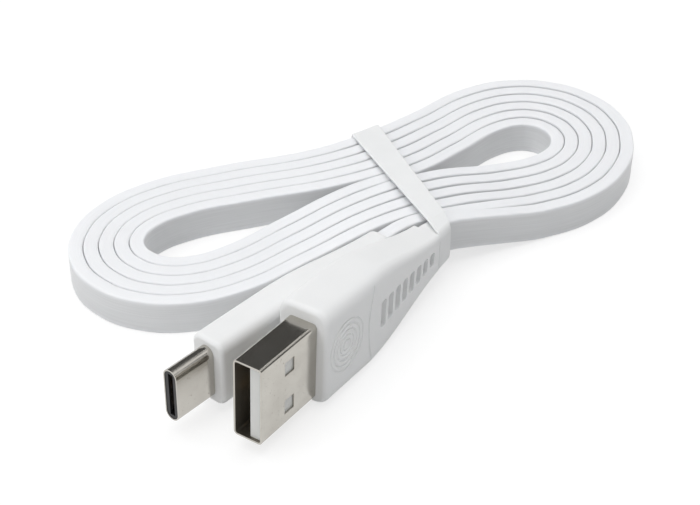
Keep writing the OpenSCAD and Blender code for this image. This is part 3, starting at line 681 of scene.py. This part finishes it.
def cut(body, cutter, place):
    """Takes the cutter's shape out of the body's mesh."""
    bmesh.ops.remove_doubles(cutter, verts=cutter.verts, dist=1e-5)
    bmesh.ops.recalc_face_normals(cutter, faces=cutter.faces)
    bmesh.ops.transform(cutter, matrix=place, verts=cutter.verts)
    mesh = bpy.data.meshes.new("cutter")
    cutter.to_mesh(mesh)
    cutter.free()
    tool = bpy.data.objects.new("cutter", mesh)
    scene.collection.objects.link(tool)
    modifier = body.modifiers.new("cut", "BOOLEAN")
    modifier.operation = "DIFFERENCE"
    modifier.solver = "EXACT"
    modifier.object = tool
    worked_in(body)
    bpy.data.objects.remove(tool)


def ease_edges(body, width, degrees):
    """Rounds the edges that turn by more than this, as tumbling or moulding leaves them."""
    modifier = body.modifiers.new("edges", "BEVEL")
    modifier.width = width * MM
    modifier.segments = 2
    modifier.limit_method = "ANGLE"
    modifier.angle_limit = math.radians(degrees)
    worked_in(body)


# A noise passes these levels in a few spots only
speck_from, speck_full = 0.72, 0.77


def plated(name, low, high, rough, yaw):
    """Plate or bare metal: cloudy, with hair-fine marks along the plug and a few specks of wear."""
    made = new_material(name)
    tree = made.node_tree
    place = add(tree, "ShaderNodeTexCoord").outputs["Object"]
    turned_in = add(tree, "ShaderNodeMapping", {"Vector": place, "Rotation": (0, 0, -yaw)}).outputs[0]
    cloud = add(tree, "ShaderNodeTexNoise", {"Vector": turned_in, "Scale": 1 / (2.5 * MM), "Detail": 3.0})
    stretched = add(tree, "ShaderNodeMapping", {"Vector": turned_in, "Scale": (0.06, 1, 1)}).outputs[0]
    hair = add(tree, "ShaderNodeTexNoise", {"Vector": stretched, "Scale": 1 / (0.12 * MM), "Detail": 2.0})
    grit = add(tree, "ShaderNodeTexNoise", {"Vector": turned_in, "Scale": 1 / (0.3 * MM), "Detail": 1.0})
    specks = add(tree, "ShaderNodeMapRange", {
        "Value": grit.outputs[0], "From Min": speck_from, "From Max": speck_full,
    })
    tone = add(
        tree, "ShaderNodeMix", {0: cloud.outputs[0], 6: linear(low), 7: linear(high)}, data_type="RGBA"
    )
    worn = add(
        tree, "ShaderNodeMix", {0: specks.outputs[0], 6: tone.outputs[2], 7: linear("#8A867E")},
        data_type="RGBA",
    )
    shine = add(tree, "ShaderNodeMapRange", {
        "Value": hair.outputs[0], "To Min": rough[0], "To Max": rough[1],
    })
    marks = add(tree, "ShaderNodeBump", {
        "Height": hair.outputs[0], "Strength": 0.25, "Distance": 0.01 * MM,
    })
    out = add(tree, "ShaderNodeBsdfPrincipled", {
        "Base Color": worn.outputs[2], "Metallic": 1.0, "Roughness": shine.outputs[0],
        "Normal": marks.outputs[0],
    })
    add(tree, "ShaderNodeOutputMaterial", {"Surface": out.outputs[0]})
    return made


# Bright nickel plate: mirror-like and faintly warm, with fine handling marks
nickel = plated("bright_nickel_plate", "#B2AEA6", "#C8C5BE", (0.1, 0.26), a_yaw)
# Rolled brass strip inside the sleeve: dull, because little plate gets there. Its darker tone is partly
# that bare strip and partly painted shade for the deep inside of the mouth.
dull_and_shaded_inside = plated("dull_inside_of_sleeve_with_painted_shade", "#77726A", "#868178", (0.4, 0.55), a_yaw)

a_shell_w, a_shell_t, a_sheet, a_corner = 12, 4.5, 0.3, 0.6
a_shell_l = a_shell_out + 6.4
window_l, window_h, window_at, window_off = 2.1, 2.2, 6.1, 3.05
window_corner = 0.15
a_place = Matrix.Scale(MM, 4) @ PLUG_A
bm = bmesh.new()
loft(bm, [(0, a_shell_w, a_shell_t, a_corner), (a_shell_l, a_shell_w, a_shell_t, a_corner)], steps=6)
bmesh.ops.transform(bm, matrix=a_place, verts=bm.verts)
a_sleeve = new_piece("usb_a_sleeve", bm, nickel)
a_sleeve.data.materials.append(dull_and_shaded_inside)
cutter = bmesh.new()
a_in = (a_shell_w - 2 * a_sheet, a_shell_t - 2 * a_sheet, a_corner - a_sheet)
loft(cutter, [(-1, *a_in), (a_shell_l + 1, *a_in)], steps=6)
# The inside faces take the darker finish, which is partly painted shade
for face in cutter.faces:
    face.material_index = 1
cut(a_sleeve, cutter, a_place)
window = (window_h, a_shell_t + 1, window_corner)
for side in (-1, 1):
    cutter = bmesh.new()
    loft(cutter, [(window_at - window_l / 2, *window), (window_at + window_l / 2, *window)], steps=3)
    bmesh.ops.translate(cutter, verts=cutter.verts, vec=(0, 0, side * window_off))
    cut(a_sleeve, cutter, a_place)
ease_edges(a_sleeve, width=0.06, degrees=50)
soften(a_sleeve, degrees=40)
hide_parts("usb_a_shell")


# ---- Tongue and contacts of the USB-A plug ----
# White glass-filled PBT, moulded round four stamped contacts. The contacts are phosphor bronze with
# gold on nickel where they wipe.
def moulded(name, low, high, rough, grain, depth, ior, inside):
    """A moulded plastic: a little cloudy, with the fine skin that its mould gives it.

    The grain's size and depth are in millimetres, coarser than the real one's so that it shows, and
    inside is how much of the light goes in under the skin.
    """
    made = new_material(name)
    tree = made.node_tree
    place = add(tree, "ShaderNodeTexCoord").outputs["Object"]
    cloud = add(tree, "ShaderNodeTexNoise", {"Vector": place, "Scale": 1 / (4 * MM), "Detail": 3.0})
    tone = add(
        tree, "ShaderNodeMix", {0: cloud.outputs[0], 6: linear(low), 7: linear(high)}, data_type="RGBA"
    )
    skin = add(tree, "ShaderNodeTexNoise", {"Vector": place, "Scale": 1 / (grain * MM), "Detail": 3.0})
    shine = add(tree, "ShaderNodeMapRange", {
        "Value": cloud.outputs[0], "To Min": rough[0], "To Max": rough[1],
    })
    relief = add(tree, "ShaderNodeBump", {
        "Height": skin.outputs[0], "Strength": 0.35, "Distance": depth * MM,
    })
    out = add(tree, "ShaderNodeBsdfPrincipled", {
        "Base Color": tone.outputs[2], "Roughness": shine.outputs[0], "IOR": ior,
        "Subsurface Weight": inside, "Subsurface Radius": (1.0, 0.97, 0.94),
        "Subsurface Scale": 0.8 * MM, "Normal": relief.outputs[0],
    })
    add(tree, "ShaderNodeOutputMaterial", {"Surface": out.outputs[0]})
    return made


def finish_nodes(names, material):
    """Gives CAD nodes, whose shapes stay, their finish."""
    for name in names:
        nodes[name].material_slots[0].material = material


# Glass-filled PBT: matt and slightly grey, with a dry, mottled skin from the glass
pbt = moulded(
    "moulded_white_pbt", "#D9D9D6", "#E4E4E1", rough=(0.45, 0.6), grain=0.2, depth=0.02, ior=1.55, inside=0.1
)
# Hard gold over nickel: warm and bright, drawn out along the contact by wiping
gold = plated("hard_gold_plate", "#D9A951", "#E6BC6C", (0.15, 0.32), a_yaw)
finish_nodes(["usb_a_insulator"], pbt)
finish_nodes(["usb_a_pin_vbus", "usb_a_pin_dminus", "usb_a_pin_dplus", "usb_a_pin_ground"], gold)


# ---- Wires and inner moulds ----
# Four wires in PVC skins run from the contacts and the small board to the cores of the flat cord. An
# inner shot of natural polypropylene holds each set still before the outer body is moulded.

# Extruded wire PVC in the four usual colours: smooth and a little glossy
WIRES = {
    "red": ("#B3231D", "#C12C25"),
    "white": ("#DDDCD8", "#E8E7E3"),
    "green": ("#1F7A3E", "#268A48"),
    "black": ("#151515", "#1D1D1D"),
}
for colour, (low, high) in WIRES.items():
    skin = moulded(
        "extruded_" + colour + "_wire_pvc", low, high,
        rough=(0.3, 0.42), grain=0.15, depth=0.01, ior=1.53, inside=0.05,
    )
    finish_nodes(["usb_a_wire_" + colour, "usb_c_wire_" + colour], skin)
# Injection-moulded polypropylene without pigment: milky, and waxy to look at
polypropylene = moulded(
    "natural_polypropylene", "#DAD8D0", "#E6E4DD",
    rough=(0.35, 0.5), grain=0.5, depth=0.02, ior=1.49, inside=0.4,
)
finish_nodes(["usb_a_inner_mould", "usb_c_inner_mould"], polypropylene)


# ---- Body of the USB-A plug ----
# White TPE moulded over the sleeve, the inner mould and the cord in one shot. Grip rings and a wide
# arc are let into each broad face, and slots let the thin end bend.
relief_rings = 24
relief_slots = 8
slot_w, slot_pitch, slot_corner, slot_climb = 1.5, 2.14, 0.5, 0.06
slot_least, slot_less, slot_fade = slot_w * 1.4, 0.6, 1.3
groove, arc_groove = 0.18, 0.225
grip_rings, grip_d, grip_off, grip_steps = 5, 7.8, 0.5, 64
grip_at = a_shell_out + a_grip_l * 0.42
arc_from, arc_r, arc_steps = a_rest_l - 0.9, 18, 160
# How far a slot's cutter stands out past the skin
slot_past = 2
# Injection-moulded TPE: satin and softly lit from inside, with the skin of a spark-eroded mould
elastomer = moulded(
    "moulded_white_tpe", "#EBECEC", "#F0F0F0",
    rough=(0.46, 0.58), grain=0.18, depth=0.02, ior=1.5, inside=0.25,
)


def slot_cutter(bm, wide, tall, r, deep, place):
    """A prism for one slot. place takes it from its own middle to the plug's frame."""
    verts = [bm.verts.new((q.x, q.y, 0)) for q in rounded_outline(wide, tall, r, steps=4)]
    face = bm.faces.new(verts)
    top = bmesh.ops.extrude_face_region(bm, geom=[face])["geom"]
    grown = [v for v in top if isinstance(v, bmesh.types.BMVert)]
    bmesh.ops.translate(bm, verts=grown, vec=(0, 0, deep))
    bmesh.ops.transform(bm, matrix=place, verts=verts + grown)


def relief_cutter(bm, first, count, tall, lean, depth, thick):
    """Slots that shorten, climb and lean more towards the cord, on both broad faces."""
    for i in range(count):
        for side in (1, -1):
            l = first + i * slot_pitch
            high = max(slot_least, tall * (1 - slot_less * (i / count) ** slot_fade))
            stand = Matrix.Translation((l, side * (thick(l) / 2 - depth), slot_climb * i))
            stand = stand @ Matrix.Rotation(-side * math.pi / 2, 4, "X")
            stand = stand @ Matrix.Rotation(math.radians(side * lean * i / count), 4, "Z")
            slot_cutter(bm, slot_w, high, slot_corner, depth + slot_past, stand)


def groove_cutter(bm, middle, reach, r, steps):
    """A ring of round wire laid in a broad face, for one round groove."""
    start = Matrix.Translation(middle + Vector((reach, 0, 0)))
    wire = bmesh.ops.create_circle(bm, segments=12, radius=r, matrix=start)["verts"]
    edges = list({e for v in wire for e in v.link_edges})
    bmesh.ops.spin(
        bm, geom=wire + edges, cent=middle, axis=(0, 1, 0), angle=math.tau, steps=steps, use_merge=True
    )


def hollow(body, place, l0, l1, shape):
    """Takes the room for a part inside out of a body: one width, thickness and corner all along."""
    cutter = bmesh.new()
    loft(cutter, [(l0, *shape), (l1, *shape)], steps=6)
    cut(body, cutter, place)


def rounded_end(l, wide, thick, steps):
    """Sections over a body's rounded end: each step is how far along, how much less, and its radius."""
    return [(l + back, wide - less, thick - less, r) for back, less, r in steps]


a_skin = Matrix.Scale(MM, 4) @ PLUG_A @ Matrix.Translation((0, 0, a_offset))
A_FRONT = [(0, 1.6, 1.5), (0.08, 1.0, 1.7), (0.25, 0.6, 1.85), (0.5, 0.2, 2.0), (0.9, 0, 2.1)]
a_relief_r, a_relief_less, a_lip_r = 1.6, 0.95, 0.6
a_sections = rounded_end(a_shell_out, a_body_w, a_body_t, A_FRONT)
for i in range(relief_rings + 1):
    l = a_rest_l + i * (a_total - a_rest_l) / relief_rings
    a_sections.append((l, a_wide(l), a_thick(l), a_relief_r - a_relief_less * a_relief(l)))
a_sections.append((lip_from, a_lip_w, a_lip_t, a_lip_r))
a_sections.append((a_lip_l, a_lip_w - 0.4, a_lip_t - 0.6, a_lip_r))
bm = bmesh.new()
loft(bm, a_sections, steps=8)
bmesh.ops.transform(bm, matrix=a_skin, verts=bm.verts)
a_body = new_piece("usb_a_body", bm, elastomer)
cutter = bmesh.new()
relief_cutter(
    cutter, first=a_rest_l + 3.2, count=relief_slots, tall=4.5, lean=5, depth=0.8, thick=a_thick
)
cut(a_body, cutter, a_skin)
cutter = bmesh.new()
for side in (-1, 1):
    for i in range(grip_rings):
        middle = Vector((grip_at, side * a_body_t / 2, grip_off))
        groove_cutter(cutter, middle, (i + 1) * grip_d / 2 / grip_rings, groove, grip_steps)
    middle = Vector((arc_from + arc_r, side * a_body_t / 2, 0))
    groove_cutter(cutter, middle, arc_r, arc_groove, arc_steps)
cut(a_body, cutter, a_skin)
a_mould_from, a_mould_to = a_shell_out + 2, a_jacket_l + 1.2
a_tail_l, a_tail_w = a_shell_l + 1.9, 8.4
mould_round = 1
hollow(a_body, a_place, a_shell_out - 1, a_mould_from + 1, (a_shell_w, a_shell_t, a_corner))
hollow(a_body, a_place, a_mould_from, a_tail_l + 0.6, (a_shell_w + 0.8, a_shell_t + 1.4, mould_round))
hollow(a_body, a_place, a_tail_l, a_mould_to, (a_tail_w, a_shell_t, mould_round))
hollow(a_body, a_skin, a_mould_to - 1, a_lip_l + 1, (cord_w, cord_t, cord_round))
soften(a_body, degrees=30)
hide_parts("usb_a_overmould")


# ---- Metal sleeve of the USB-C plug ----
# Stainless steel deep-drawn into a seamless flat tube with round sides, nickel plated like the other.
# The real mouth is rolled a little inward, and here its edges are only eased.
c_shell_w, c_shell_t, c_wall = 8.25, 2.4, 0.2
c_shell_l = c_shell_out + 2.5
c_place = Matrix.Scale(MM, 4) @ PLUG_C
# Nickel on deep-drawn steel: as bright as the other sleeve, and more even in tone
drawn_steel = plated("nickel_on_drawn_steel", "#BBB7B0", "#C7C4BD", (0.1, 0.24), c_yaw)
round_side = 0.499
bm = bmesh.new()
c_out = (c_shell_w, c_shell_t, c_shell_t * round_side)
loft(bm, [(0, *c_out), (c_shell_l, *c_out)], steps=12)
bmesh.ops.transform(bm, matrix=c_place, verts=bm.verts)
c_sleeve = new_piece("usb_c_sleeve", bm, drawn_steel)
c_in_w, c_in_t = c_shell_w - 2 * c_wall, c_shell_t - 2 * c_wall
c_in = (c_in_w, c_in_t, c_in_t * round_side)
hollow(c_sleeve, c_place, -1, c_shell_l + 1, c_in)
ease_edges(c_sleeve, width=0.07, degrees=50)
soften(c_sleeve, degrees=40)
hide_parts("usb_c_shell")


# ---- Inside of the USB-C plug ----
# A black LCP moulding holds two rows of gilt contacts, a steel mid plate with its two latch arms and
# two grounding springs. Behind it a small glass-epoxy board in a steel can carries one resistor.

# Injection-moulded LCP: black and matt
lcp = moulded(
    "moulded_black_lcp", "#0B0B0C", "#131314",
    rough=(0.45, 0.6), grain=0.15, depth=0.02, ior=1.6, inside=0.0,
)
# Stamped stainless steel, left bare: grey, and duller than the plate
steel = plated("stamped_stainless_steel", "#B4B1AB", "#C2BFBA", (0.25, 0.4), c_yaw)
# Solder mask, printed and cured on the board: green and glossy, with a wavy skin
solder_mask = moulded(
    "green_solder_mask", "#1E5A35", "#27693F",
    rough=(0.3, 0.42), grain=0.6, depth=0.03, ior=1.52, inside=0.0,
)
# Glazed chip resistor, fired: near black and shiny
glazed_chip = moulded(
    "glazed_chip_resistor", "#1A1A1B", "#29292A",
    rough=(0.25, 0.4), grain=0.2, depth=0.01, ior=1.5, inside=0.0,
)
# Hard gold over nickel, as on the larger contacts, with its marks along this plug
gold_c = plated("hard_gold_plate_fine", "#D9A951", "#E6BC6C", (0.15, 0.32), c_yaw)
finish_nodes(["usb_c_insulator"], lcp)
finish_nodes(["usb_c_pins_upper", "usb_c_pins_lower"], gold_c)
finish_nodes(["usb_c_mid_plate", "usb_c_latch_left", "usb_c_latch_right"], steel)
finish_nodes(["usb_c_spring_upper", "usb_c_spring_lower", "usb_c_can"], steel)
finish_nodes(["usb_c_board"], solder_mask)
finish_nodes(["usb_c_resistor"], glazed_chip)


# ---- Body of the USB-C plug ----
# The same white TPE as the other body, slimmer, with a plain grip and a long slotted strain relief
# that ends in a rounded collar round the cord.
c_body_w, c_body_t, c_neck_w, c_neck_t = 10.3, 5.6, 6.8, 4
c_relief_l = c_shell_out + 14.2
c_neck_l = c_total - 0.9
c_relief_r, c_relief_less, c_relief_soon = 1.5, 0.2, 4


def c_relief(l):
    """How far along the smaller plug's strain relief a place is, from 0 to 1."""
    return min(1, max(0, (l - c_relief_l) / (c_neck_l - c_relief_l)))


def c_wide(l):
    return c_body_w + (c_neck_w - c_body_w) * ease(c_relief(l))


def c_thick(l):
    return c_body_t + (c_neck_t - c_body_t) * c_relief(l)


C_FRONT = [(0, 1.2, 1), (0.06, 0.8, 1.1), (0.2, 0.45, 1.3), (0.4, 0.15, 1.4), (0.7, 0, 1.5)]
C_COLLAR = [(-0.6, 0.12, 1.3), (-0.3, 0.45, 1.25), (0, 0.9, 1.1)]
c_sections = rounded_end(c_shell_out, c_body_w, c_body_t, C_FRONT)
for i in range(relief_rings + 1):
    l = c_relief_l + i * (c_neck_l - c_relief_l) / relief_rings
    r = c_relief_r - c_relief_less * min(1, c_relief_soon * c_relief(l))
    c_sections.append((l, c_wide(l), c_thick(l), r))
c_sections += rounded_end(c_total, c_neck_w, c_neck_t, C_COLLAR)
bm = bmesh.new()
loft(bm, c_sections, steps=8)
bmesh.ops.transform(bm, matrix=c_place, verts=bm.verts)
c_body = new_piece("usb_c_body", bm, elastomer)
cutter = bmesh.new()
relief_cutter(
    cutter, first=c_relief_l + 5, count=relief_slots - 2, tall=3.2, lean=5, depth=0.5, thick=c_thick
)
cut(c_body, cutter, c_place)
can_from, can_to = c_shell_out + 0.7, c_shell_l + 6.8
c_mould_to = c_jacket_l + 0.8
can_round = 1.2
hollow(c_body, c_place, c_shell_out - 1, can_from + 1, c_out)
hollow(c_body, c_place, can_from, can_to, (c_shell_w + 0.7, c_shell_t + 1.8, can_round))
hollow(c_body, c_place, can_to - 0.5, c_mould_to, (c_shell_w - 0.9, c_shell_t + 1.2, mould_round))
hollow(c_body, c_place, c_mould_to - 1, c_total + 1, (cord_w, cord_t, cord_round))
soften(c_body, degrees=30)
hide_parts("usb_c_overmould")
